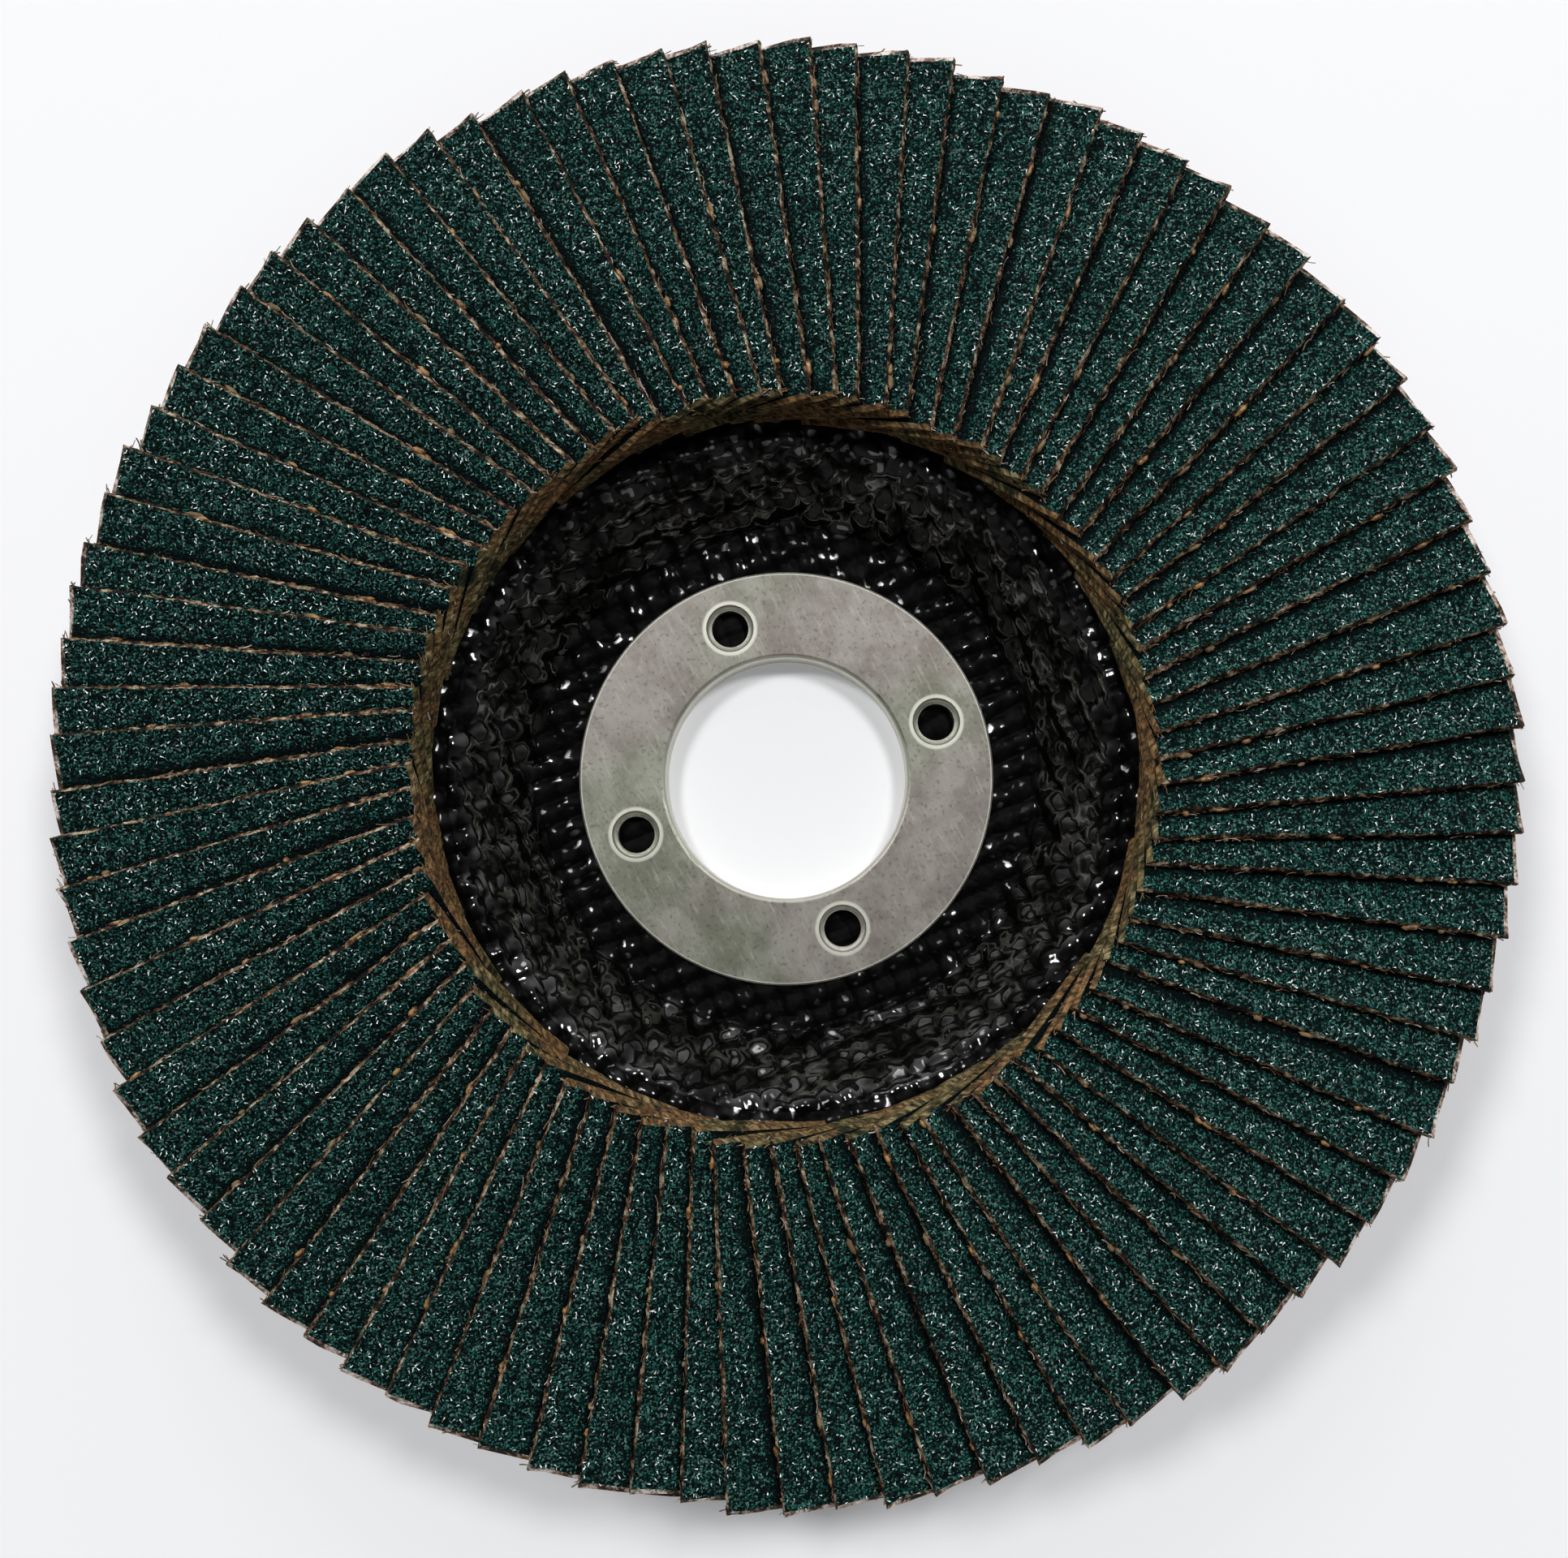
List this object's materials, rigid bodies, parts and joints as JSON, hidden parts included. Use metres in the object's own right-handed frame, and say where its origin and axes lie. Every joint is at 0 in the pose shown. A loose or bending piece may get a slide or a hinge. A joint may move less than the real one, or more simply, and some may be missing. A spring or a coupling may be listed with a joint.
{
  "type": "flap disc",
  "caption": "Abrasive flap disc for an angle grinder: overlapping grit-cloth flaps fanned round a dished glass-fibre backing plate with a pressed steel centre ring.",
  "frame": {"origin": "on the spindle axis, at the back face of the hub, which the disc lies on", "axes": "+Z along the spindle axis from the back of the hub towards the abrasive face; +X and +Y across the disc; the first flap's length lies along +X"},
  "size_m": [0.1251, 0.1256, 0.0175],
  "materials": {
    "glass_fibre_resin": "black glass cloth pressed in resin, semi-gloss, woven",
    "zinc_plated_steel": "dull zinc plate, slightly mottled",
    "set_glue": "set epoxy, dark",
    "grit_cloth": "dark teal abrasive grit on tan cloth, sparkling"
  },
  "bodies": {
    "root": {"backing_plate": "glass_fibre_resin", "centre_ring": "zinc_plated_steel", "adhesive_bed": "set_glue", "flap_pair_01": "grit_cloth", "flap_pair_02": "grit_cloth", "flap_pair_03": "grit_cloth", "flap_pair_04": "grit_cloth", "flap_pair_05": "grit_cloth", "flap_pair_06": "grit_cloth", "flap_pair_07": "grit_cloth", "flap_pair_08": "grit_cloth", "flap_pair_09": "grit_cloth", "flap_pair_10": "grit_cloth", "flap_pair_11": "grit_cloth", "flap_pair_12": "grit_cloth", "flap_pair_13": "grit_cloth", "flap_pair_14": "grit_cloth", "flap_pair_15": "grit_cloth", "flap_pair_16": "grit_cloth", "flap_pair_17": "grit_cloth", "flap_pair_18": "grit_cloth", "flap_pair_19": "grit_cloth", "flap_pair_20": "grit_cloth", "flap_pair_21": "grit_cloth", "flap_pair_22": "grit_cloth", "flap_pair_23": "grit_cloth", "flap_pair_24": "grit_cloth", "flap_pair_25": "grit_cloth", "flap_pair_26": "grit_cloth", "flap_pair_27": "grit_cloth", "flap_pair_28": "grit_cloth", "flap_pair_29": "grit_cloth", "flap_pair_30": "grit_cloth", "flap_pair_31": "grit_cloth", "flap_pair_32": "grit_cloth", "flap_pair_33": "grit_cloth", "flap_pair_34": "grit_cloth", "flap_pair_35": "grit_cloth", "flap_pair_36": "grit_cloth", "flap_pair_37": "grit_cloth", "flap_pair_38": "grit_cloth", "flap_pair_39": "grit_cloth", "flap_pair_40": "grit_cloth", "flap_pair_41": "grit_cloth", "flap_pair_42": "grit_cloth", "flap_pair_43": "grit_cloth", "flap_pair_44": "grit_cloth", "flap_pair_45": "grit_cloth"}
  },
  "joints": []
}
